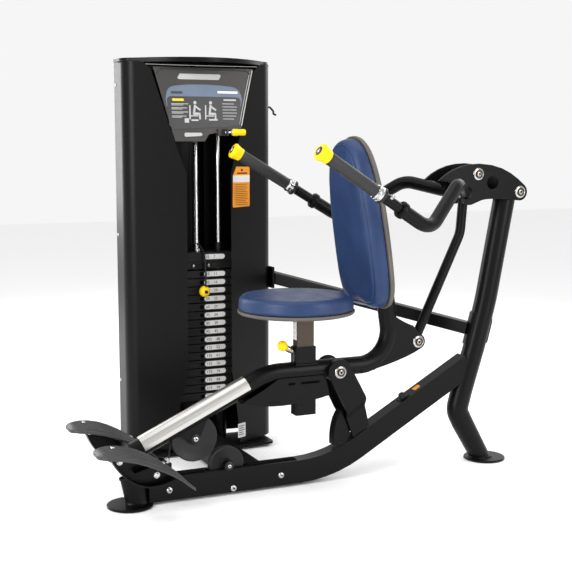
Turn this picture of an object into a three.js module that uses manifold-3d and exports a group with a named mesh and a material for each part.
// Seated dip machine with a rocking seat carriage, a parallel press arm and a selectorised weight tower.
// Millimetres, +Z up. The user sits facing -Y, +X is the user's left, and the weight tower stands at -X.
// All places are first given from the front foot's centre on the floor; the last lines move the origin
// to the middle of the footprint.
import * as THREE from "three";
import { mergeVertices } from "three/addons/utils/BufferGeometryUtils.js";
import Module from "manifold-3d";

const wasm = await Module();
wasm.setup();

// ---------------------------------------------------------------- driving dimensions

const GAP = 0.3; // between pieces that touch
const RUN = 0.4; // round a pin that turns

// Base: a rectangular tube that runs back from the front foot and rises to the rear upright.
const BASE = { halfWidth: 30, bottom: 9, top: 96, front: 62, bendY: 776, bendRadius: 490, rise: 29.3 };
const BASE_MID_Z = (BASE.bottom + BASE.top) / 2;
const BASE_WALL = 4;
const FOOT_RADIUS = 82.5;
const FOOT_THICK = 8.6;
const REAR_FOOT_Y = 1488;
const UPRIGHT_RADIUS = 43;

// The four pivots of the linkage, as [y, z].
const CARRIAGE_PIVOT = [801, 422];
const LINK_LOW_PIVOT = [1152, 508];
const LINK_TOP_PIVOT = [1394, 1151];
const ARM_PIVOT = [1590, 1079];
const OPEN_PIVOT_CLEARANCE = 5; // the link's top eye round its pin

// Carriage.
const CARRIAGE_RADIUS = 34;
const CARRIAGE_Z = 431; // axis of the level stretch under the seat
const SPINE_LEAN = 0.149; // the back leans forward by this much per unit of height
const SPINE_FOOT_Y = 1056; // where the spine's axis would meet CARRIAGE_Z
const SEAT_POST = { y: 675, halfX: 20, halfY: 35, bottom: 290, top: 646 };
const SOCKET = { halfX: 26, halfY: 41, bottom: 265, top: 522 };
const SEAT = { y: 645, bottom: 646.3, shellTop: 662, top: 716, radius: 213, shellRadius: 217 };
const PULL_PIN = { y: 633.5, z: 503, tilt: 30 };

// Press arms and handles.
const PLATE_IN = 47;
const PLATE_OUT = 57;
const ARM_RADIUS = 25;
const HANDLE_COLLAR = [350, 885, 1040]; // where the arm tube ends and the handle's shaft starts
const HANDLE_END = [385, 547, 1245];

// Weight tower.
const TOWER_Y = 496;
const TOWER_HALF_Y = 316;
const TOWER_BACK_X = -738;
const TOWER_FRONT_X = -505; // edge of the shrouds beside the opening
const OPENING_HALF_Y = 94;
const TOWER_TOP = 1590;
const SKIN = 4;
const STACK = { y: 488, front: -580, back: -700, halfY: 135, pitch: 34, top: 756, count: 16, lifted: 3 };
const PLATE_THICK = 33.4;
const ROD_X = -640;
const ROD_HALF_SPACING = 98;
const ROD_RADIUS = 10;
const STEM_RADIUS = 10;
const HEAD = { bottom: 759, step: 788, top: 827 };
const LIFT_ROD_TOP = 1276;
const PIN_RADIUS = 4.5;

// Drive cable and its pulleys; each pulley's cable runs at radius r.
const CABLE_RADIUS = 3;
const CABLE_FLOOR_Z = 46; // the cable's height inside the base
const CARRIAGE_PULLEY = { y: 239, z: 221, r: 83 };
const BASE_PULLEY = { y: 362, z: 110, r: 64 };
const CORNER_PULLEY = { x: -30, y: STACK.y - 30, r: 30 };
const RISER_X = -704; // the cable's run up the back of the stack
const LOW_PULLEY = { x: RISER_X + 45, z: CABLE_FLOOR_Z + 45, r: 45 };
const TOP_PULLEY = { x: ROD_X - 32, z: 1548, r: 32 };
const CABLE_ANCHOR = [141, 140.5];

// ---------------------------------------------------------------- materials

const paint = new THREE.MeshStandardMaterial({ color: 0x1c1c1b, roughness: 0.45, metalness: 0.3 });
const panelPaint = new THREE.MeshStandardMaterial({ color: 0x4a4847, roughness: 0.35, metalness: 0.6 });
const blueVinyl = new THREE.MeshStandardMaterial({ color: 0x2e4370, roughness: 0.5, metalness: 0 });
const taupeShell = new THREE.MeshStandardMaterial({ color: 0x5a544f, roughness: 0.55, metalness: 0 });
const yellow = new THREE.MeshStandardMaterial({ color: 0xffd90f, roughness: 0.4, metalness: 0 });
const stainless = new THREE.MeshStandardMaterial({ color: 0xd8d6d2, roughness: 0.25, metalness: 1 });
const chrome = new THREE.MeshStandardMaterial({ color: 0xe6e6e6, roughness: 0.1, metalness: 1 });
const bareSteel = new THREE.MeshStandardMaterial({ color: 0x6f665f, roughness: 0.5, metalness: 0.7 });
const blackPlastic = new THREE.MeshStandardMaterial({ color: 0x161616, roughness: 0.55, metalness: 0 });
const footPlastic = new THREE.MeshStandardMaterial({ color: 0x333436, roughness: 0.5, metalness: 0 });
const rubber = new THREE.MeshStandardMaterial({ color: 0x121212, roughness: 0.8, metalness: 0 });
const foam = new THREE.MeshStandardMaterial({ color: 0x2f2f30, roughness: 0.9, metalness: 0 });

// ---------------------------------------------------------------- solids

const rad = THREE.MathUtils.degToRad;

// A closed three.js geometry as a manifold-3d solid.
function solid(geometry) {
  const bare = geometry.clone();
  bare.deleteAttribute("normal");
  bare.deleteAttribute("uv");
  const merged = mergeVertices(bare, 1e-4);
  const made = new wasm.Manifold(
    new wasm.Mesh({
      numProp: 3,
      vertProperties: new Float32Array(merged.attributes.position.array),
      triVerts: new Uint32Array(merged.index.array),
    }),
  );
  return made;
}

const join = (first, ...rest) => rest.reduce((sum, piece) => sum.add(piece), first);
const cut = (first, ...rest) => rest.reduce((sum, piece) => sum.subtract(piece), first);

function geometryOf(made) {
  const m = made.getMesh();
  const geometry = new THREE.BufferGeometry();
  const positions = new Float32Array(m.numVert * 3);
  for (let i = 0; i < m.numVert; i++) {
    positions.set(m.vertProperties.subarray(i * m.numProp, i * m.numProp + 3), i * 3);
  }
  geometry.setAttribute("position", new THREE.BufferAttribute(positions, 3));
  geometry.setIndex(new THREE.BufferAttribute(new Uint32Array(m.triVerts), 1));
  geometry.computeVertexNormals();
  return geometry;
}

const machine = new THREE.Group();

function part(name, made, material) {
  const mesh = new THREE.Mesh(geometryOf(made), material);
  mesh.name = name;
  machine.add(mesh);
  return mesh;
}

// Turns a shape drawn in (u, v) and extruded along w so that u, v, w run along the given axes.
function placed(geometry, u, v, w, origin) {
  const basis = new THREE.Matrix4().makeBasis(u, v, w);
  basis.setPosition(origin);
  return geometry.applyMatrix4(basis);
}

const X = new THREE.Vector3(1, 0, 0);
const Y = new THREE.Vector3(0, 1, 0);
const Z = new THREE.Vector3(0, 0, 1);
const at = (x, y, z) => new THREE.Vector3(x, y, z);

const extruded = (shape, depth, curveSegments = 12) =>
  new THREE.ExtrudeGeometry(shape, { depth, bevelEnabled: false, curveSegments });

// A side profile in (y, z) from x0 to x1, a plan in (x, y) from z0 to z1, and a front outline in (x, z).
const sideSlab = (shape, x0, x1, segments) =>
  solid(placed(extruded(shape, x1 - x0, segments), Y, Z, X, at(x0, 0, 0)));
const planSlab = (shape, z0, z1, segments) =>
  solid(placed(extruded(shape, z1 - z0, segments), X, Y, Z, at(0, 0, z0)));

const polygon = (points) => new THREE.Shape(points.map(([u, v]) => new THREE.Vector2(u, v)));

function box(x0, x1, y0, y1, z0, z1) {
  const geometry = new THREE.BoxGeometry(x1 - x0, y1 - y0, z1 - z0);
  geometry.translate((x0 + x1) / 2, (y0 + y1) / 2, (z0 + z1) / 2);
  return solid(geometry);
}

function roundedBox(x0, x1, y0, y1, z0, z1, r) {
  const shape = new THREE.Shape();
  shape.moveTo(x0 + r, y0);
  shape.lineTo(x1 - r, y0);
  shape.absarc(x1 - r, y0 + r, r, -Math.PI / 2, 0);
  shape.absarc(x1 - r, y1 - r, r, 0, Math.PI / 2);
  shape.absarc(x0 + r, y1 - r, r, Math.PI / 2, Math.PI);
  shape.absarc(x0 + r, y0 + r, r, Math.PI, 1.5 * Math.PI);
  return planSlab(shape, z0, z1, 3);
}

// A profile of [radius, height] points turned about a line from `start` along `direction`.
function turned(profile, start, direction, segments = 24) {
  const lathe = new THREE.LatheGeometry(
    profile.map(([r, h]) => new THREE.Vector2(r, h)),
    segments,
  );
  lathe.applyQuaternion(new THREE.Quaternion().setFromUnitVectors(Y, direction.clone().normalize()));
  lathe.translate(start.x, start.y, start.z);
  return solid(lathe);
}

// A plain round bar along one axis.
const bar = (radius, start, direction, length, segments = 16) =>
  turned([[0, 0], [radius, 0], [radius, length], [0, length]], start, direction, segments);

// A curve through given stations, one section at each.
class StationCurve extends THREE.Curve {
  constructor(stations) {
    super();
    this.stations = stations;
  }
  getPoint(t, target = new THREE.Vector3()) {
    const last = this.stations.length - 1;
    const i = Math.min(Math.round(t * last), last);
    return target.copy(this.stations[i]);
  }
  getPointAt(u, target) {
    return this.getPoint(u, target);
  }
  getTangentAt(u, target = new THREE.Vector3()) {
    const last = this.stations.length - 1;
    const i = Math.min(Math.round(u * last), last);
    const before = this.stations[Math.max(i - 1, 0)];
    const after = this.stations[Math.min(i + 1, last)];
    const here = this.stations[i];
    target.set(0, 0, 0);
    if (i > 0) target.add(here.clone().sub(before).normalize());
    if (i < last) target.add(after.clone().sub(here).normalize());
    return target.normalize();
  }
}

// A route through corner points as stations. Each corner is rounded to its radius, or left plain at 0.
function route(corners, radii, degreesPerStep = 12) {
  const points = corners.map((c) => at(...c));
  const stations = [points[0]];
  for (let i = 1; i < points.length - 1; i++) {
    if (!radii[i - 1]) {
      stations.push(points[i]);
      continue;
    }
    const into = points[i].clone().sub(points[i - 1]).normalize();
    const out = points[i + 1].clone().sub(points[i]).normalize();
    const turn = into.angleTo(out);
    const reach = radii[i - 1] * Math.tan(turn / 2);
    const start = points[i].clone().addScaledVector(into, -reach);
    const inward = out.clone().addScaledVector(into, -out.dot(into)).normalize();
    const centre = start.clone().addScaledVector(inward, radii[i - 1]);
    const steps = Math.max(2, Math.ceil(THREE.MathUtils.radToDeg(turn) / degreesPerStep));
    for (let k = 0; k <= steps; k++) {
      const angle = (turn * k) / steps;
      stations.push(
        centre
          .clone()
          .addScaledVector(inward, -radii[i - 1] * Math.cos(angle))
          .addScaledVector(into, radii[i - 1] * Math.sin(angle)),
      );
    }
  }
  stations.push(points[points.length - 1]);
  return stations;
}

function swept(shape, stations) {
  const geometry = new THREE.ExtrudeGeometry(shape, {
    steps: stations.length - 1,
    extrudePath: new StationCurve(stations),
    curveSegments: 3,
  });
  return solid(geometry);
}

function ring(radius, sides) {
  const points = [];
  for (let i = 0; i < sides; i++) {
    const angle = (2 * Math.PI * (i + 0.5)) / sides;
    points.push([radius * Math.cos(angle), radius * Math.sin(angle)]);
  }
  return polygon(points);
}

const tube = (stations, radius, sides = 18) => swept(ring(radius, sides), stations);

// A bolt shaft along X with a domed washer head outside each plate.
function crossPin(pivot, radius, halfLength, headRadius, headThick) {
  const start = at(-halfLength - headThick, ...pivot);
  const length = 2 * (halfLength + headThick);
  return turned(
    [
      [0, 0],
      [headRadius, 0],
      [headRadius, headThick],
      [radius, headThick],
      [radius, length - headThick],
      [headRadius, length - headThick],
      [headRadius, length],
      [0, length],
    ],
    start,
    X,
    18,
  );
}

// A cable pulley: flanges, a groove and a bored hub, about an axis through its centre.
function pulley(centre, axis, grooveRadius, halfWidth, boreRadius, segments = 20) {
  const rim = grooveRadius + 3;
  const floor = grooveRadius - CABLE_RADIUS - 1.6;
  const start = centre.clone().addScaledVector(axis, -halfWidth);
  const w = 2 * halfWidth;
  return turned(
    [
      [boreRadius, 0],
      [rim, 0],
      [floor, halfWidth - CABLE_RADIUS],
      [floor, halfWidth + CABLE_RADIUS],
      [rim, w],
      [boreRadius, w],
      [boreRadius, 0],
    ],
    start,
    axis,
    segments,
  );
}

// ---------------------------------------------------------------- base and upright

// Points along the base tube's underside or top, at a distance from its centre line.
const riseAngle = rad(BASE.rise);
const riseDir = [Math.cos(riseAngle), Math.sin(riseAngle)];
const riseNormal = [-riseDir[1], riseDir[0]];

function baseLine(offset, end) {
  const reach = BASE.bendRadius * Math.tan(riseAngle / 2);
  const centre = [BASE.bendY - reach, BASE_MID_Z + BASE.bendRadius];
  const radius = BASE.bendRadius - offset;
  const points = [[BASE.front, BASE_MID_Z + offset]];
  const steps = 5;
  for (let i = 0; i <= steps; i++) {
    const angle = (riseAngle * i) / steps;
    points.push([centre[0] + radius * Math.sin(angle), centre[1] - radius * Math.cos(angle)]);
  }
  points.push([
    BASE.bendY + riseDir[0] * end + riseNormal[0] * offset,
    BASE_MID_Z + riseDir[1] * end + riseNormal[1] * offset,
  ]);
  return points;
}

const BASE_HALF_DEPTH = (BASE.top - BASE.bottom) / 2;
const RISER_LENGTH = 705;

const UPRIGHT = route(
  [
    [0, 1464, 12],
    [0, 1377, 163],
    [0, 1350, 208],
    [0, 1372, 290],
    [0, 1430, 470],
    [0, 1478, 648],
    [0, 1562, 1086],
  ],
  [150, 60, 0, 0, 0],
  18,
);

function rearUpright() {
  const post = tube(UPRIGHT, UPRIGHT_RADIUS, 16).intersect(box(-60, 60, 1200, 1700, 4, 1200));
  const barrel = bar(31, at(-PLATE_IN + GAP, ...ARM_PIVOT), X, 2 * (PLATE_IN - GAP), 20);
  const disc = turned(
    [[0, 0], [FOOT_RADIUS, 0], [FOOT_RADIUS, FOOT_THICK - 3], [FOOT_RADIUS - 3, FOOT_THICK], [0, FOOT_THICK]],
    at(0, REAR_FOOT_Y, 0),
    Z,
  );
  const bore = bar(12 + RUN, at(-60, ...ARM_PIVOT), X, 120);
  return cut(join(post, barrel, disc), bore);
}

function baseTube() {
  const outer = [
    ...baseLine(-BASE_HALF_DEPTH, RISER_LENGTH),
    ...baseLine(BASE_HALF_DEPTH, RISER_LENGTH).reverse(),
  ];
  const inside = BASE_HALF_DEPTH - BASE_WALL;
  const inner = [...baseLine(-inside, RISER_LENGTH - 90), ...baseLine(inside, RISER_LENGTH - 90).reverse()];
  inner.forEach((p) => {
    if (p[0] === BASE.front) p[0] = BASE.front + BASE_WALL;
  });
  const hw = BASE.halfWidth;
  const slot = box(-13, 13, BASE_PULLEY.y - 80, BASE_PULLEY.y + 80, BASE_MID_Z, BASE.top + 1);
  const sideWindow = box(-hw - 1, -hw + BASE_WALL + 1, 420, 508, 16, 89);
  const lug = box(-8, 8, CABLE_ANCHOR[0] - 12, CABLE_ANCHOR[0] + 12, BASE.top - 1, CABLE_ANCHOR[1] - 2.4);
  const axleHole = bar(8 + GAP, at(-hw - 1, BASE_PULLEY.y, BASE_PULLEY.z), X, 2 * hw + 2);
  const ear = turned([[0, 0], [20, 0], [20, 5], [0, 5]], at(hw - 5, BASE_PULLEY.y, BASE_PULLEY.z), X);
  const farEar = turned([[0, 0], [20, 0], [20, 5], [0, 5]], at(-hw, BASE_PULLEY.y, BASE_PULLEY.z), X);
  const shell = cut(
    sideSlab(polygon(outer), -hw, hw),
    sideSlab(polygon(inner), -hw + BASE_WALL, hw - BASE_WALL),
    slot,
    sideWindow,
  );
  const clearUpright = tube(UPRIGHT, UPRIGHT_RADIUS + GAP, 16);
  return cut(join(shell, lug, ear, farEar), axleHole, clearUpright);
}

function frontFoot() {
  const disc = turned(
    [[0, 0], [FOOT_RADIUS, 0], [FOOT_RADIUS, FOOT_THICK - 3], [FOOT_RADIUS - 3, FOOT_THICK], [0, FOOT_THICK]],
    at(0, 0, 0),
    Z,
  );
  const oval = new THREE.Shape();
  oval.absellipse(0, 0, 28, 36, 0, 2 * Math.PI);
  const column = placed(extruded(oval, 96, 8), X, Y, at(0, -0.17, 1), at(0, 20, 6));
  const rim = new THREE.Shape();
  rim.absellipse(0, 0, 31, 39, 0, 2 * Math.PI);
  const cap = placed(extruded(rim, 8, 8), X, Y, at(0, -0.17, 1), at(0, 5, 96));
  return join(disc, solid(column), solid(cap));
}

// ---------------------------------------------------------------- pivot bracket on the base

// Side plates that hold the carriage's pivot: wide at the pin, joggled in to the tube at the foot.
function pivotBracket(side) {
  const [py, pz] = CARRIAGE_PIVOT;
  const outline = new THREE.Shape();
  outline.moveTo(870, 161);
  outline.lineTo(939, 199);
  outline.lineTo(910, 322);
  outline.lineTo(852, 428);
  outline.absarc(py, pz, 48, rad(14), rad(188), false);
  outline.lineTo(828, 270);
  outline.closePath();
  const slab = sideSlab(outline, -80, 80, 14);
  // The folded sheet's section, in x and in height above the riser, swept along the riser.
  const sheet = polygon([
    [22, 20],
    [22, 132],
    [PLATE_IN, 162],
    [PLATE_IN, 470],
    [PLATE_OUT, 470],
    [PLATE_OUT, 158],
    [32, 128],
    [32, 20],
  ]);
  const along = at(0, riseDir[0], riseDir[1]);
  const up = at(0, riseNormal[0], riseNormal[1]);
  const start = at(0, BASE.bendY, BASE_MID_Z).addScaledVector(along, -200);
  const swath = solid(placed(extruded(sheet, 700), X, up, along.clone().negate(), start.addScaledVector(along, 700)));
  const pinHole = bar(13 + GAP, at(30, py, pz), X, 40);
  const one = cut(slab.intersect(swath), pinHole);
  return side > 0 ? one : mirrored(one);
}

// A solid mirrored to the other side of the machine.
function mirrored(made) {
  const geometry = geometryOf(made);
  geometry.applyMatrix4(new THREE.Matrix4().makeScale(-1, 1, 1));
  const index = geometry.index.array;
  for (let i = 0; i < index.length; i += 3) {
    [index[i + 1], index[i + 2]] = [index[i + 2], index[i + 1]];
  }
  return solid(geometry);
}

function pivotCover() {
  const outline = new THREE.Shape();
  outline.moveTo(866, 166);
  outline.lineTo(826, 268);
  outline.quadraticCurveTo(790, 225, 793, 134);
  outline.lineTo(806, 134);
  outline.closePath();
  return sideSlab(outline, -21.5, 21.5, 6);
}

// ---------------------------------------------------------------- carriage

const spineY = (z) => SPINE_FOOT_Y - SPINE_LEAN * (z - CARRIAGE_Z);
const CARRIAGE_NOSE = [0, 12, 193.5];
const CARRIAGE_STATIONS = route(
  [CARRIAGE_NOSE, [0, 529, CARRIAGE_Z], [0, SPINE_FOOT_Y, CARRIAGE_Z], [0, spineY(1090), 1090]],
  [260, 125],
  18,
);

function carriageTube() {
  const main = tube(CARRIAGE_STATIONS, CARRIAGE_RADIUS, 14);
  const barrel = bar(44, at(-PLATE_IN + 1, ...CARRIAGE_PIVOT), X, 2 * (PLATE_IN - 1), 20);
  const crossbar = bar(24, at(-124.5, 10, 184), X, 249, 16);
  const pulleyCheek = polygon([
    [CARRIAGE_PULLEY.y - 26, CARRIAGE_PULLEY.z - 4],
    [CARRIAGE_PULLEY.y + 16, CARRIAGE_PULLEY.z - 16],
    [CARRIAGE_PULLEY.y + 60, 318],
    [CARRIAGE_PULLEY.y - 90, 250],
  ]);
  const cheeks = [-1, 1].map((side) => sideSlab(pulleyCheek, side > 0 ? 15 : -21, side > 0 ? 21 : -15));
  const spaceForPulley = turned(
    [[0, 0], [CARRIAGE_PULLEY.r + 9, 0], [CARRIAGE_PULLEY.r + 9, 29], [0, 29]],
    at(-14.5, CARRIAGE_PULLEY.y, CARRIAGE_PULLEY.z),
    X,
  );
  const socketHole = box(
    -SOCKET.halfX - GAP,
    SOCKET.halfX + GAP,
    SEAT_POST.y - SOCKET.halfY - GAP,
    SEAT_POST.y + SOCKET.halfY + GAP,
    CARRIAGE_Z - 60,
    CARRIAGE_Z + 60,
  );
  const pinBore = bar(13 + RUN, at(-60, ...CARRIAGE_PIVOT), X, 120);
  const axleBore = bar(8 + GAP, at(-30, CARRIAGE_PULLEY.y, CARRIAGE_PULLEY.z), X, 60);
  return cut(join(main, barrel, crossbar, ...cheeks), spaceForPulley, socketHole, pinBore, axleBore);
}

// The bright cover over the top of the sloping stretch.
const slope = at(0, 529 - 40, CARRIAGE_Z - 207).normalize();
const slopeUp = at(0, -slope.z, slope.y);

function carriageCover() {
  const inner = CARRIAGE_RADIUS + GAP;
  const outer = inner + 2.5;
  const section = new THREE.Shape();
  section.absarc(0, 0, outer, rad(-14), rad(194), false);
  section.absarc(0, 0, inner, rad(194), rad(-14), true);
  section.closePath();
  const start = at(0, 40, 207).addScaledVector(slope, 6);
  return solid(placed(extruded(section, 440, 16), X, slopeUp, slope.clone().negate(), start.addScaledVector(slope, 440)));
}

function underGusset() {
  const outline = new THREE.Shape();
  outline.moveTo(414, 333);
  outline.quadraticCurveTo(560, 288, 769, 333);
  outline.lineTo(752, 412);
  outline.lineTo(560, 412);
  outline.lineTo(500, 376);
  outline.closePath();
  const outside = 32;
  const inside = SOCKET.halfX + GAP;
  const raised = new THREE.Shape();
  raised.moveTo(400, 345);
  raised.quadraticCurveTo(560, 294, 790, 342);
  raised.lineTo(790, 480);
  raised.lineTo(400, 480);
  raised.closePath();
  const socketHole = box(
    -inside,
    inside,
    SEAT_POST.y - SOCKET.halfY - GAP,
    SEAT_POST.y + SOCKET.halfY + GAP,
    200,
    500,
  );
  const clearTube = tube(CARRIAGE_STATIONS, CARRIAGE_RADIUS + GAP, 14);
  const channel = cut(sideSlab(outline, -outside, outside, 10), sideSlab(raised, -inside, inside, 10));
  return cut(channel, socketHole, clearTube);
}

// The fan plates behind the seat that carry the link's lower pin.
function rearGusset(side) {
  const outline = new THREE.Shape();
  outline.moveTo(spineY(645), 645);
  outline.lineTo(1040, 620);
  outline.quadraticCurveTo(1080, 590, 1129, 572);
  outline.absarc(LINK_LOW_PIVOT[0], LINK_LOW_PIVOT[1], 30, rad(75), rad(-70), true);
  outline.quadraticCurveTo(1090, 440, 905, 404);
  // Back along the tube's own axis, where the tube takes it away again.
  CARRIAGE_STATIONS.filter((p) => p.y > 900 && p.z < 640).forEach((p) => outline.lineTo(p.y, p.z));
  outline.closePath();
  const slab = sideSlab(outline, side > 0 ? 22 : -30, side > 0 ? 30 : -22, 6);
  const clearTube = tube(CARRIAGE_STATIONS, CARRIAGE_RADIUS + GAP, 14);
  const pinHole = bar(11 + GAP, at(-60, ...LINK_LOW_PIVOT), X, 120);
  return cut(slab, clearTube, pinHole);
}

function seatSocket() {
  const y0 = SEAT_POST.y - SOCKET.halfY;
  const y1 = SEAT_POST.y + SOCKET.halfY;
  const sleeve = roundedBox(-SOCKET.halfX, SOCKET.halfX, y0, y1, SOCKET.bottom, SOCKET.top, 5);
  const bore = box(
    -SEAT_POST.halfX - GAP,
    SEAT_POST.halfX + GAP,
    SEAT_POST.y - SEAT_POST.halfY - GAP,
    SEAT_POST.y + SEAT_POST.halfY + GAP,
    SOCKET.bottom - 1,
    SOCKET.top + 1,
  );
  const pinWay = bar(6 + GAP, at(0, PULL_PIN.y, PULL_PIN.z).addScaledVector(pinDir, -12), pinDir, 30, 16);
  return cut(sleeve, bore, pinWay);
}

function seatPost() {
  const y0 = SEAT_POST.y - SEAT_POST.halfY;
  const y1 = SEAT_POST.y + SEAT_POST.halfY;
  const outer = roundedBox(-SEAT_POST.halfX, SEAT_POST.halfX, y0, y1, SEAT_POST.bottom, SEAT_POST.top, 4);
  const hollow = box(-16, 16, y0 + 4, y1 - 4, SEAT_POST.bottom - 1, SEAT_POST.top - 8);
  return cut(outer, hollow);
}

const seatShell = () =>
  turned(
    [
      [0, SEAT.bottom],
      [SEAT.shellRadius - 12, SEAT.bottom],
      [SEAT.shellRadius, SEAT.bottom + 8],
      [SEAT.shellRadius, SEAT.shellTop - 1],
      [SEAT.shellRadius - 3, SEAT.shellTop],
      [0, SEAT.shellTop],
    ],
    at(0, SEAT.y, 0),
    Z,
    28,
  );

const seatPad = () =>
  turned(
    [
      [0, SEAT.shellTop + GAP],
      [SEAT.radius - 4, SEAT.shellTop + GAP],
      [SEAT.radius, SEAT.shellTop + 12],
      [SEAT.radius - 3, SEAT.top - 16],
      [SEAT.radius - 20, SEAT.top - 3],
      [SEAT.radius - 60, SEAT.top],
      [0, SEAT.top],
    ],
    at(0, SEAT.y, 0),
    Z,
    28,
  );

// The sprung pin that locks the seat post: shank, knurled barrel's core and ball.
const pinDir = at(0, -Math.cos(rad(PULL_PIN.tilt)), Math.sin(rad(PULL_PIN.tilt)));

function pullPin() {
  const start = at(0, PULL_PIN.y, PULL_PIN.z).addScaledVector(pinDir, -3.4);
  const profile = [[0, 0], [5.5, 0], [5.5, 12], [10, 12], [10, 38], [8, 38], [8, 40]];
  const ballRadius = 17.5;
  const ballCentre = 53;
  for (let a = -60; a <= 60; a += 30) {
    profile.push([ballRadius * Math.cos(rad(a)), ballCentre + ballRadius * Math.sin(rad(a))]);
  }
  profile.push([0, ballCentre + ballRadius]);
  return turned(profile, start, pinDir, 16);
}

// Back pad and shell: an outline in its own leaning plane.
const BACK_LEAN = Math.atan(SPINE_LEAN);
const backUp = at(0, -Math.sin(BACK_LEAN), Math.cos(BACK_LEAN));
const backOut = at(0, -Math.cos(BACK_LEAN), -Math.sin(BACK_LEAN));

function backOutline(grow) {
  const w = 168 + grow;
  const top = 640 + grow;
  const shape = new THREE.Shape();
  shape.moveTo(-100, -grow);
  shape.lineTo(100, -grow);
  shape.bezierCurveTo(150 + grow, -grow, w - 8, 40, w - 4, 110);
  shape.bezierCurveTo(w + 3, 220, w, 360, w - 14, 450);
  shape.bezierCurveTo(w - 34, 560, 100, top, 0, top);
  shape.bezierCurveTo(-100, top, -(w - 34), 560, -(w - 14), 450);
  shape.bezierCurveTo(-w, 360, -(w + 3), 220, -(w - 4), 110);
  shape.bezierCurveTo(-(w - 8), 40, -(150 + grow), -grow, -100, -grow);
  return shape;
}

const BACK_FOOT_Z = 660;
const BACK_SHELL_THICK = 20;
const BACK_PAD_THICK = 60;

function backSlab(grow, from, thick) {
  const rear = at(0, spineY(BACK_FOOT_Z) - CARRIAGE_RADIUS * 1.02 - 1, BACK_FOOT_Z);
  const origin = rear.addScaledVector(backOut, from);
  return solid(placed(extruded(backOutline(grow), thick, 7), X, backUp, backOut, origin));
}

// ---------------------------------------------------------------- foot rests

// Leaf-shaped tread, curved along its length: a plan outline cut from a bent sheet.
const FOOT_X = 190;

function footPlate(side) {
  const leaf = new THREE.Shape();
  leaf.moveTo(FOOT_X, -172);
  leaf.bezierCurveTo(FOOT_X + 62, -172, FOOT_X + 84, -110, FOOT_X + 84, -40);
  leaf.bezierCurveTo(FOOT_X + 84, 50, FOOT_X + 46, 120, FOOT_X + 6, 176);
  leaf.lineTo(FOOT_X - 8, 170);
  leaf.bezierCurveTo(FOOT_X - 60, 110, FOOT_X - 80, 40, FOOT_X - 80, -40);
  leaf.bezierCurveTo(FOOT_X - 80, -110, FOOT_X - 62, -172, FOOT_X, -172);
  const sheet = new THREE.Shape();
  sheet.moveTo(-190, 262);
  sheet.bezierCurveTo(-120, 272, -40, 258, 30, 218);
  sheet.quadraticCurveTo(110, 170, 190, 82);
  sheet.lineTo(184, 74);
  sheet.quadraticCurveTo(104, 160, 26, 208);
  sheet.bezierCurveTo(-44, 248, -120, 262, -190, 252);
  sheet.closePath();
  const one = planSlab(leaf, 0, 400, 10).intersect(sideSlab(sheet, 50, 330, 8));
  return side > 0 ? one : mirrored(one);
}

// Dished side plate under each tread.
function footBracket(side) {
  const hull = new THREE.Shape();
  hull.moveTo(-118, 238);
  hull.bezierCurveTo(-92, 170, -40, 112, 26, 106);
  hull.quadraticCurveTo(90, 104, 128, 132);
  hull.lineTo(66, 170);
  hull.lineTo(20, 200);
  hull.bezierCurveTo(-30, 232, -60, 238, -118, 238);
  const dish = new THREE.Shape();
  dish.moveTo(-140, 300);
  dish.lineTo(-108, 234);
  dish.bezierCurveTo(-86, 174, -38, 120, 26, 113);
  dish.quadraticCurveTo(84, 111, 130, 138);
  dish.lineTo(130, 300);
  dish.closePath();
  const one = cut(sideSlab(hull, 125, 165, 10), sideSlab(dish, 131, 170, 10));
  const trimmed = cut(one, sideSlab(treadShadow(), 100, 300, 8));
  return side > 0 ? trimmed : mirrored(trimmed);
}

// The space from the tread's underside upwards.
function treadShadow() {
  const space = new THREE.Shape();
  space.moveTo(-190, 251.6);
  space.bezierCurveTo(-120, 261.6, -44, 247.6, 26, 207.6);
  space.quadraticCurveTo(104, 159.6, 184, 73.6);
  space.lineTo(260, 73.6);
  space.lineTo(260, 400);
  space.lineTo(-190, 400);
  space.closePath();
  return space;
}

// ---------------------------------------------------------------- link and press arms

function linkRod() {
  const stations = route(
    [
      [0, LINK_LOW_PIVOT[0], LINK_LOW_PIVOT[1]],
      [0, 1352, 920],
      [0, 1362, 1040],
      [0, LINK_TOP_PIVOT[0], LINK_TOP_PIVOT[1]],
    ],
    [120, 90],
  );
  const rod = tube(stations, 19, 10);
  const lowEye = bar(28, at(-20.5, ...LINK_LOW_PIVOT), X, 41, 18);
  const topEye = bar(30, at(-34, ...LINK_TOP_PIVOT), X, 68, 18);
  const lowBore = bar(11 + RUN, at(-40, ...LINK_LOW_PIVOT), X, 80);
  const topBore = bar(11 + OPEN_PIVOT_CLEARANCE, at(-60, ...LINK_TOP_PIVOT), X, 120);
  return cut(join(rod, lowEye, topEye), lowBore, topBore);
}

const ARM_STATIONS = route(
  [HANDLE_COLLAR, [337, 1008, 966], [196, 1212, 1120], [70, 1335, 1081], [46, 1350, 1077]],
  [85, 90, 0],
  20,
);

function armTube(side) {
  const direction = at(...HANDLE_COLLAR).sub(at(...HANDLE_END)).normalize();
  const collar = turned(
    [[0, 0], [29, 0], [31, 3], [31, 17], [28, 20], [0, 20]],
    at(...HANDLE_COLLAR).addScaledVector(direction, -8),
    direction,
    16,
  );
  const one = join(tube(ARM_STATIONS, ARM_RADIUS, 12), collar);
  return side > 0 ? one : mirrored(one);
}

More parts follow.
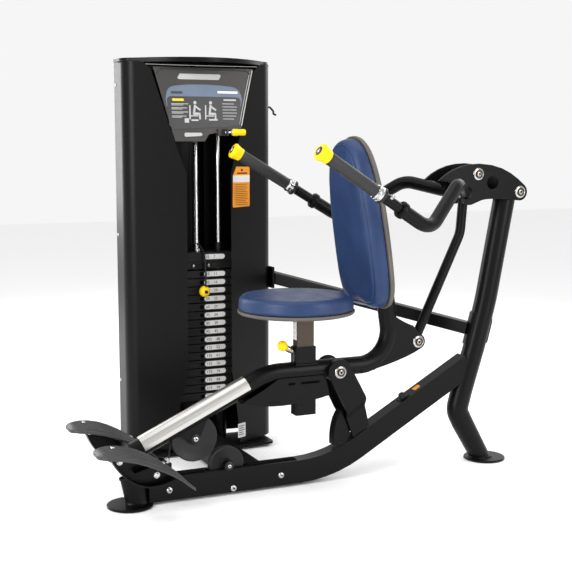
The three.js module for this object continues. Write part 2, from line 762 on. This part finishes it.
function armPlate(side) {
  const outline = new THREE.Shape();
  outline.moveTo(1216, 1127);
  outline.quadraticCurveTo(1290, 1192, 1400, 1191);
  outline.bezierCurveTo(1500, 1188, 1560, 1150, 1612.8, 1104.3);
  outline.absarc(ARM_PIVOT[0], ARM_PIVOT[1], 34, rad(48), rad(-92), true);
  outline.quadraticCurveTo(1450, 1060, 1412, 1050);
  outline.lineTo(1365, 1033);
  outline.quadraticCurveTo(1330, 1028, 1327, 1050);
  outline.bezierCurveTo(1326, 1100, 1290, 1122, 1230, 1127);
  const slab = sideSlab(outline, PLATE_IN, PLATE_OUT, 5);
  const holes = [
    bar(27, at(0, 1461, 1117), X, 80, 14),
    bar(12 + GAP, at(0, ...ARM_PIVOT), X, 80),
    bar(11 + GAP, at(0, ...LINK_TOP_PIVOT), X, 80),
    tube(ARM_STATIONS, ARM_RADIUS + GAP, 12),
  ];
  const one = cut(slab, ...holes);
  return side > 0 ? one : mirrored(one);
}

// Shaft, flange, ring, grip and end knob, all turned about the handle's own line.
function handle(side) {
  const start = at(...HANDLE_COLLAR);
  const end = at(...HANDLE_END);
  const direction = end.clone().sub(start).normalize();
  const length = end.distanceTo(start);
  const base = start.addScaledVector(direction, 8 + GAP);
  const flange = 88;
  const grip = 122;
  const knob = length - 50;
  const one = turned(handleProfile(flange, grip, knob), base, direction, 16);
  return side > 0 ? one : mirrored(one);
}

const handleProfile = (flange, grip, knob) => [
  [0, 0],
  [19, 0],
  [19, flange],
  [27, flange],
  [27, flange + 10],
  [25, flange + 12],
  [25, grip - 2],
  [22.5, grip],
  [22.5, knob],
  [24, knob + 2],
  [27.5, knob + 22],
  [27.5, knob + 34],
  [21, knob + 42],
  [0, knob + 42],
];

// ---------------------------------------------------------------- weight tower

const FRONT_SLOPE = rad(65);

// Plan line of one side's skin, offset outwards, from the back to the opening; s = -1 for the front side.
function skinLine(s, inset, clipFront = 0) {
  const sideY = TOWER_Y + s * (TOWER_HALF_Y - inset);
  const openY = TOWER_Y + s * OPENING_HALF_Y;
  const faceDir = [Math.cos(FRONT_SLOPE), Math.sin(FRONT_SLOPE)];
  const faceIn = [-faceDir[1] * inset, faceDir[0] * inset];
  const faceEnd = [TOWER_FRONT_X + faceIn[0] - clipFront, openY - s * faceIn[1]];
  const span = Math.abs(sideY - faceEnd[1]);
  const cornerX = faceEnd[0] - (span * faceDir[0]) / faceDir[1];
  const radius = 70 - inset;
  const reach = radius * Math.tan(FRONT_SLOPE / 2);
  const points = [[TOWER_BACK_X, sideY]];
  const steps = 6;
  for (let i = 0; i <= steps; i++) {
    const angle = (FRONT_SLOPE * i) / steps;
    points.push([
      cornerX - reach + radius * Math.sin(angle),
      sideY - s * radius * (1 - Math.cos(angle)),
    ]);
  }
  points.push(faceEnd);
  return points;
}

// The V-shaped top of the opening, its straight sides and its flared foot, in (y, z).
function openingOutline() {
  const half = OPENING_HALF_Y;
  return polygon([
    [TOWER_Y - 136, 20],
    [TOWER_Y - 136, 182],
    [TOWER_Y - half, 342],
    [TOWER_Y - half, 1148],
    [TOWER_Y - 136, 1278],
    [TOWER_Y - 216, 1556],
    [TOWER_Y - 250, TOWER_TOP + 1],
    [TOWER_Y + 250, TOWER_TOP + 1],
    [TOWER_Y + 216, 1556],
    [TOWER_Y + 136, 1278],
    [TOWER_Y + half, 1148],
    [TOWER_Y + half, 342],
    [TOWER_Y + 136, 60],
    [TOWER_Y + 136, 20],
  ]);
}

function shroud(s) {
  const outline = [...skinLine(s, 0), ...skinLine(s, SKIN).reverse()];
  const skin = planSlab(polygon(s < 0 ? outline : outline.reverse()), 30, TOWER_TOP - 1);
  return cut(skin, sideSlab(openingOutline(), -900, -300));
}

function backCover() {
  const half = TOWER_HALF_Y;
  const outer = new THREE.Shape();
  outer.moveTo(TOWER_BACK_X - GAP, TOWER_Y - half);
  outer.quadraticCurveTo(TOWER_BACK_X - 52, TOWER_Y, TOWER_BACK_X - GAP, TOWER_Y + half);
  outer.lineTo(TOWER_BACK_X - GAP, TOWER_Y + half - 24);
  outer.quadraticCurveTo(TOWER_BACK_X - 46, TOWER_Y, TOWER_BACK_X - GAP, TOWER_Y - half + 24);
  outer.closePath();
  return planSlab(outer, 30, TOWER_TOP - 1, 12);
}

function towerCap() {
  const outline = new THREE.Shape();
  const side = TOWER_HALF_Y + 2;
  outline.moveTo(TOWER_BACK_X, TOWER_Y - side);
  outline.lineTo(-662, TOWER_Y - side);
  outline.quadraticCurveTo(-620, TOWER_Y - side + 4, -604, TOWER_Y - side + 40);
  outline.quadraticCurveTo(-300 - 10, TOWER_Y, -604, TOWER_Y + side - 40);
  outline.quadraticCurveTo(-620, TOWER_Y + side - 4, -662, TOWER_Y + side);
  outline.lineTo(TOWER_BACK_X, TOWER_Y + side);
  outline.quadraticCurveTo(TOWER_BACK_X - 54, TOWER_Y, TOWER_BACK_X, TOWER_Y - side);
  const plate = planSlab(outline, TOWER_TOP, TOWER_TOP + 12, 10);
  const disc = turned([[0, 0], [62, 0], [60, 6], [44, 9], [0, 10]], at(-640, 408, TOWER_TOP + 11), Z);
  return join(plate, disc);
}

// The leaning sign panel that fills the V of the opening.
const HEADER = { topX: -556, topZ: 1566, footX: -524, footZ: 1276 };

function headerPanel() {
  const lean = at(HEADER.footX - HEADER.topX, 0, HEADER.footZ - HEADER.topZ);
  const length = lean.length();
  const down = lean.clone().normalize();
  const out = at(-down.z, 0, down.x).multiplyScalar(1);
  const half = OPENING_HALF_Y;
  const outline = polygon([
    [-212, 0],
    [212, 0],
    [146, length - 44],
    [98, length - 46],
    [8, length - 28],
    [-10, length],
    [-134, length],
  ]);
  const plate = extruded(outline, SKIN);
  placed(plate, Y, down, out.clone().negate(), at(HEADER.topX, TOWER_Y, HEADER.topZ).addScaledVector(out, SKIN));
  // The lug at its foot that guides the increment knob's pin.
  const lug = join(box(-520, -478, 566, 571, 1298, 1326), box(-530, -512, 540, 571, 1298, 1326));
  return cut(join(solid(plate), lug), shroudSpace(-1), shroudSpace(1), bar(5 + RUN, at(-492, 550, 1312), Y, 40, 16));
}

// A thickened copy of a shroud's skin, to keep neighbours clear of it.
function shroudSpace(s) {
  const outline = [...skinLine(s, -GAP), ...skinLine(s, SKIN + GAP).reverse()];
  const skin = planSlab(polygon(s < 0 ? outline : outline.reverse()), 29, TOWER_TOP + 20);
  return cut(skin, sideSlab(openingOutline(), -900, -300));
}

function towerBase() {
  const plate = roundedBox(-730, -520, TOWER_Y - 290, TOWER_Y + 290, 10, 20, 20);
  const feet = [
    [-700, 225],
    [-700, 767],
    [-612, 240],
    [-612, 752],
  ].map(([x, y]) => bar(22, at(x, y, 0), Z, 12, 12));
  const risers = [-1, 1].map((s) => {
    const y = STACK.y + s * ROD_HALF_SPACING;
    const riserTop = STACK.top - STACK.count * STACK.pitch - 1;
    return cut(
      bar(27, at(ROD_X, y, 19), Z, riserTop - 19, 12),
      bar(ROD_RADIUS + 1, at(ROD_X, y, 20), Z, 300, 10),
    );
  });
  const cheeks = [-1, 1].map((s) =>
    box(LOW_PULLEY.x - 16, LOW_PULLEY.x + 16, STACK.y + s * 15 - 2, STACK.y + s * 15 + 2, 19, LOW_PULLEY.z + 14),
  );
  const axle = bar(6, at(LOW_PULLEY.x, STACK.y - 17, LOW_PULLEY.z), Y, 34);
  return join(plate, ...feet, ...risers, ...cheeks, axle);
}

// Two posts and a head plate that carry the guide rods and the top pulley.
function towerFrame() {
  const posts = [-1, 1].map((s) =>
    box(-734, -710, STACK.y + s * 75 - 13, STACK.y + s * 75 + 13, 20 + GAP, 1565),
  );
  const head = cut(
    box(-734, -612, STACK.y - 130, STACK.y + 130, 1556, 1566),
    box(RISER_X - 10, ROD_X + 10, STACK.y - 15, STACK.y + 15, 1550, 1570),
  );
  const cheeks = [-1, 1].map((s) =>
    box(TOP_PULLEY.x - 14, TOP_PULLEY.x + 14, STACK.y + s * 17 - 2, STACK.y + s * 17 + 2, 1534, 1557),
  );
  const axle = bar(6, at(TOP_PULLEY.x, STACK.y - 17, TOP_PULLEY.z), Y, 34);
  return join(head, ...posts, ...cheeks, axle);
}

const guideRod = (s) =>
  bar(ROD_RADIUS, at(ROD_X, STACK.y + s * ROD_HALF_SPACING, 20 + GAP), Z, 1555.6 - 20, 12);

// One weight plate from z0 up, with its rod holes, stem hole and the hole for the selector pin.
function weightPlate(z0) {
  const blank = stackSlab(z0, PLATE_THICK, 0);
  return cut(blank, ...rodWays(z0, PLATE_THICK), pinWay(z0 + PLATE_THICK / 2));
}

// A plate's blank with its corners cut, drawn in by `inset`.
function stackSlab(z0, thick, inset) {
  const corner = 6;
  const [x0, x1] = [STACK.back + inset, STACK.front - inset];
  const [y0, y1] = [STACK.y - STACK.halfY + inset, STACK.y + STACK.halfY - inset];
  const outline = polygon([
    [x0 + corner, y0],
    [x1 - corner, y0],
    [x1, y0 + corner],
    [x1, y1 - corner],
    [x1 - corner, y1],
    [x0 + corner, y1],
    [x0, y1 - corner],
    [x0, y0 + corner],
  ]);
  return planSlab(outline, z0, z0 + thick);
}

const rodWays = (z0, thick) => [
  box(ROD_X - 13, ROD_X + 13, STACK.y - 13, STACK.y + 13, z0 - 1, z0 + thick + 1),
  ...[-1, 1].map((s) =>
    bar(ROD_RADIUS + 2, at(ROD_X, STACK.y + s * ROD_HALF_SPACING, z0 - 1), Z, thick + 2, 8),
  ),
];

const pinWay = (z) => bar(PIN_RADIUS + 1.8, at(ROD_X, STACK.y, z), X, STACK.front - ROD_X + 1, 6);

const plateFloor = (i) => STACK.top - i * STACK.pitch; // underside of plate i, counted from 1

// The plates that stay down, as one block with a groove between one plate and the next.
function lowerPlates() {
  const foot = plateFloor(STACK.count);
  const top = plateFloor(STACK.lifted + 1) + PLATE_THICK;
  const blanks = [];
  const pinWays = [];
  for (let i = STACK.lifted + 1; i <= STACK.count; i++) {
    blanks.push(stackSlab(plateFloor(i), PLATE_THICK, 0));
    pinWays.push(pinWay(plateFloor(i) + PLATE_THICK / 2));
  }
  const core = stackSlab(foot, top - foot, 2);
  return cut(join(core, ...blanks), ...rodWays(foot, top - foot), ...pinWays);
}

function headPlate() {
  const y0 = STACK.y - STACK.halfY;
  const y1 = STACK.y + STACK.halfY;
  const lower = roundedBox(STACK.back, STACK.front, y0, y1, HEAD.bottom, HEAD.step + 1, 8);
  const upper = roundedBox(STACK.back, STACK.front - 3, y0, y1, HEAD.step, HEAD.top, 8);
  const sleeves = [-1, 1].map((s) => bar(15, at(ROD_X, STACK.y + s * ROD_HALF_SPACING, HEAD.top - 1), Z, 36, 12));
  const rodHoles = [-1, 1].map((s) =>
    bar(ROD_RADIUS + 1.2, at(ROD_X, STACK.y + s * ROD_HALF_SPACING, HEAD.bottom - 1), Z, 120, 12),
  );
  const stemHole = bar(STEM_RADIUS + 1, at(ROD_X, STACK.y, HEAD.bottom - 1), Z, 120, 12);
  return cut(join(lower, upper, ...sleeves), ...rodHoles, stemHole);
}

// Lifting rod above the head plate and selector stem below it, in one bar with a fitting on the plate.
function selectorStem() {
  const foot = plateFloor(STACK.count) + 2;
  const stem = turned(
    [
      [0, foot],
      [STEM_RADIUS, foot],
      [STEM_RADIUS, HEAD.top + GAP],
      [17, HEAD.top + GAP],
      [17, HEAD.top + 12],
      [12, HEAD.top + 16],
      [12, HEAD.top + 34],
      [STEM_RADIUS, HEAD.top + 36],
      [STEM_RADIUS, LIFT_ROD_TOP],
      [0, LIFT_ROD_TOP],
    ],
    at(ROD_X, STACK.y, 0),
    Z,
    10,
  );
  const holes = [];
  for (let i = STACK.lifted; i <= STACK.count; i++) {
    holes.push(bar(PIN_RADIUS + 0.8, at(ROD_X - 12, STACK.y, plateFloor(i) + PLATE_THICK / 2), X, 24, 6));
  }
  return cut(stem, ...holes);
}

const SELECTOR_Z = plateFloor(STACK.lifted) + PLATE_THICK / 2;

function selectorPin() {
  const start = at(ROD_X - 12, STACK.y, SELECTOR_Z);
  const reach = STACK.front - start.x + 8;
  const profile = [[0, 0], [PIN_RADIUS - 1, 0], [PIN_RADIUS, 2], [PIN_RADIUS, reach], [11, reach], [11, reach + 8]];
  const radius = 17.5;
  const centre = reach + 22;
  for (let a = -50; a <= 60; a += 27.5) {
    profile.push([radius * Math.cos(rad(a)), centre + radius * Math.sin(rad(a))]);
  }
  profile.push([0, centre + radius]);
  return turned(profile, start, X, 16);
}

// The cord from the head plate's fitting to the pin's ball, points chosen where it hangs.
const LANYARD = [
  [-621.5, 488, 856],
  [-606, 490, 852],
  [-588, 493, 842],
  [-574, 496, 826],
  [-567, 498, 800],
  [-563, 499, 770],
  [-558, 498, 735],
  [-551, 495, 706],
  [-541, 491, 690],
  [-534, 489, 684],
];

const lanyard = () => swept(ring(2.2, 6), LANYARD.map((p) => at(...p)));

function incrementKnob() {
  return turned(
    [
      [0, 0],
      [5, 0],
      [5, 30],
      [8, 30],
      [8, 38],
      [13, 40],
      [13, 84],
      [11, 87],
      [0, 87],
    ],
    at(-492, 560, 1312),
    Y,
    16,
  );
}

// ---------------------------------------------------------------- drive cable

function arcPoints(centreA, centreB, radius, fromDeg, toDeg, place) {
  const steps = Math.max(2, Math.ceil(Math.abs(toDeg - fromDeg) / 18));
  const points = [];
  for (let i = 0; i <= steps; i++) {
    const angle = rad(fromDeg + ((toDeg - fromDeg) * i) / steps);
    points.push(place(centreA + radius * Math.cos(angle), centreB + radius * Math.sin(angle)));
  }
  return points;
}

// From its anchor over the carriage pulley, under the base pulley, round the corner pulley to the tower,
// round the low pulley, up behind the stack and over the top pulley to the lifting rod.
function cableStations() {
  const deg = THREE.MathUtils.radToDeg;
  const [ay, az] = CABLE_ANCHOR;
  const a = CARRIAGE_PULLEY;
  const b = BASE_PULLEY;
  const toAnchor = Math.atan2(az - a.z, ay - a.y);
  const offAnchor = Math.acos(a.r / Math.hypot(az - a.z, ay - a.y));
  const start = ((deg(toAnchor - offAnchor) % 360) + 360) % 360;
  const toBase = Math.atan2(b.z - a.z, b.y - a.y);
  const offBase = Math.acos((a.r + b.r) / Math.hypot(b.z - a.z, b.y - a.y));
  const leave = deg(toBase + offBase);
  const yz = (y, z) => at(0, y, z);
  const xy = (x, y) => at(x, y, CABLE_FLOOR_Z);
  const xz = (x, z) => at(x, STACK.y, z);
  return [
    at(0, ay, az),
    ...arcPoints(a.y, a.z, a.r, start, leave, yz),
    ...arcPoints(b.y, b.z, b.r, leave + 180, 270, yz),
    ...arcPoints(CORNER_PULLEY.x, CORNER_PULLEY.y, CORNER_PULLEY.r, 0, 90, xy),
    ...arcPoints(LOW_PULLEY.x, LOW_PULLEY.z, LOW_PULLEY.r, 270, 180, xz),
    ...arcPoints(TOP_PULLEY.x, TOP_PULLEY.z, TOP_PULLEY.r, 180, 0, xz),
    at(ROD_X, STACK.y, LIFT_ROD_TOP + GAP),
  ];
}

// ---------------------------------------------------------------- tower brace and small frame pieces

const BRACE_FROM = [-640, TOWER_Y + TOWER_HALF_Y + 9, 706];
const BRACE_TO = [-20, 1408, 538];

function towerBrace() {
  const half = 24;
  const flange = 8;
  const section = new THREE.Shape();
  section.moveTo(-half + 5, -half);
  section.lineTo(half - 5, -half);
  section.absarc(half - 5, -half + 5, 5, -Math.PI / 2, 0);
  section.absarc(half - 5, half - 5, 5, 0, Math.PI / 2);
  section.absarc(-half + 5, half - 5, 5, Math.PI / 2, Math.PI);
  section.absarc(-half + 5, -half + 5, 5, Math.PI, 1.5 * Math.PI);
  const from = at(...BRACE_FROM);
  const to = at(...BRACE_TO);
  const along = to.clone().sub(from).normalize();
  const across = along.clone().cross(Z).normalize();
  const under = along.clone().cross(across);
  const bare = extruded(section, from.distanceTo(to), 3);
  const beam = solid(placed(bare, across, under, along, from));
  const plate = box(
    BRACE_FROM[0] - 45,
    BRACE_FROM[0] + 45,
    TOWER_Y + TOWER_HALF_Y + GAP,
    TOWER_Y + TOWER_HALF_Y + flange,
    BRACE_FROM[2] - 45,
    BRACE_FROM[2] + 45,
  );
  const behind = box(-800, -300, 0, TOWER_Y + TOWER_HALF_Y + GAP, 0, 1500);
  // The curved plate that clamps the beam to the upright.
  const saddle = tube(UPRIGHT, UPRIGHT_RADIUS + 6, 16).intersect(box(-80, 20, 1370, 1500, 478, 602));
  return cut(join(beam, plate, saddle), behind, tube(UPRIGHT, UPRIGHT_RADIUS + GAP, 16));
}

function crossMember() {
  const y0 = 416;
  const y1 = 512;
  const outer = box(-560, -BASE.halfWidth - GAP, y0, y1, 10, 93);
  const inner = box(-561, -BASE.halfWidth, y0 + BASE_WALL, y1 - BASE_WALL, 14, 89);
  const clearPlate = box(-740, -519, 190, 800, 0, 20 + GAP);
  return cut(outer, inner, clearPlate);
}

function travelBumper() {
  const place = 400;
  const foot = at(0, BASE.bendY, BASE_MID_Z)
    .add(at(0, riseDir[0], riseDir[1]).multiplyScalar(place))
    .add(at(0, riseNormal[0], riseNormal[1]).multiplyScalar(BASE_HALF_DEPTH + GAP));
  return turned([[0, 0], [15, 0], [15, 14], [10, 20], [0, 21]], foot, at(0, ...riseNormal), 24);
}

// ---------------------------------------------------------------- assembly

part("base_tube", baseTube(), paint);
part("front_foot", frontFoot(), paint);
part("rear_upright", rearUpright(), paint);
part("pivot_bracket_left", pivotBracket(1), paint);
part("pivot_bracket_right", pivotBracket(-1), paint);
part("pivot_cover", pivotCover(), paint);
part("carriage_pivot_pin", crossPin(CARRIAGE_PIVOT, 13, PLATE_OUT + GAP, 23.5, 5), chrome);
part("tower_brace", towerBrace(), paint);
part("cross_member", crossMember(), paint);
part("travel_bumper", travelBumper(), rubber);

part("carriage_tube", carriageTube(), paint);
part("carriage_cover", carriageCover(), stainless);
part("foot_bracket_left", footBracket(1), paint);
part("foot_bracket_right", footBracket(-1), paint);
part("foot_plate_left", footPlate(1), footPlastic);
part("foot_plate_right", footPlate(-1), footPlastic);
part("under_gusset", underGusset(), paint);
part("rear_gusset_left", rearGusset(1), paint);
part("rear_gusset_right", rearGusset(-1), paint);
part("seat_socket", seatSocket(), paint);
part("seat_post", seatPost(), bareSteel);
part("seat_shell", seatShell(), taupeShell);
part("seat_pad", seatPad(), blueVinyl);
part("pull_pin", pullPin(), yellow);
part("back_shell", backSlab(4, 0, BACK_SHELL_THICK), taupeShell);
part("back_pad", backSlab(0, BACK_SHELL_THICK + GAP, BACK_PAD_THICK), blueVinyl);

part("link_rod", linkRod(), paint);
part("link_lower_pin", crossPin(LINK_LOW_PIVOT, 11, 30 + GAP, 23, 5), chrome);
part("link_upper_pin", crossPin(LINK_TOP_PIVOT, 11, PLATE_OUT + GAP, 23, 5), chrome);
part("arm_plate_left", armPlate(1), paint);
part("arm_plate_right", armPlate(-1), paint);
part("arm_tube_left", armTube(1), paint);
part("arm_tube_right", armTube(-1), paint);
part("arm_pivot_pin", crossPin(ARM_PIVOT, 12, PLATE_OUT + GAP, 23.5, 5), chrome);
part("handle_left", handle(1), foam);
part("handle_right", handle(-1), foam);

const pulleyAt = (name, centre, axis, spec, half, bore) =>
  part(name, pulley(centre, axis, spec.r, half, bore), blackPlastic);
pulleyAt("carriage_pulley", at(0, CARRIAGE_PULLEY.y, CARRIAGE_PULLEY.z), X, CARRIAGE_PULLEY, 12, 8 + RUN);
pulleyAt("base_pulley", at(0, BASE_PULLEY.y, BASE_PULLEY.z), X, BASE_PULLEY, 11, 8 + RUN);
pulleyAt("corner_pulley", at(CORNER_PULLEY.x, CORNER_PULLEY.y, CABLE_FLOOR_Z), Z, CORNER_PULLEY, 9, 8 + RUN);
pulleyAt("tower_low_pulley", at(LOW_PULLEY.x, STACK.y, LOW_PULLEY.z), Y, LOW_PULLEY, 10, 6 + RUN);
pulleyAt("tower_top_pulley", at(TOP_PULLEY.x, STACK.y, TOP_PULLEY.z), Y, TOP_PULLEY, 10, 6 + RUN);

part("tower_base", towerBase(), paint);
part("tower_frame", towerFrame(), paint);
part("shroud_front", shroud(-1), paint);
part("shroud_rear", shroud(1), paint);
part("back_cover", backCover(), paint);
part("tower_cap", towerCap(), paint);
part("header_panel", headerPanel(), panelPaint);
part("guide_rod_front", guideRod(-1), chrome);
part("guide_rod_rear", guideRod(1), chrome);
part("lower_plates", lowerPlates(), paint);
for (let i = 1; i <= STACK.lifted; i++) {
  part("weight_plate_" + i, weightPlate(plateFloor(i)), paint);
}
part("head_plate", headPlate(), paint);
part("selector_stem", selectorStem(), chrome);
part("selector_pin", selectorPin(), yellow);
part("pin_lanyard", lanyard(), blackPlastic);
part("increment_knob", incrementKnob(), yellow);
part("drive_cable", swept(ring(CABLE_RADIUS, 5), cableStations()), blackPlastic);

// The origin goes to the middle of the footprint on the floor.
const bounds = new THREE.Box3().setFromObject(machine);
machine.position.set(-(bounds.min.x + bounds.max.x) / 2, -(bounds.min.y + bounds.max.y) / 2, 0);
const group = new THREE.Group();
group.add(machine);

export default group;
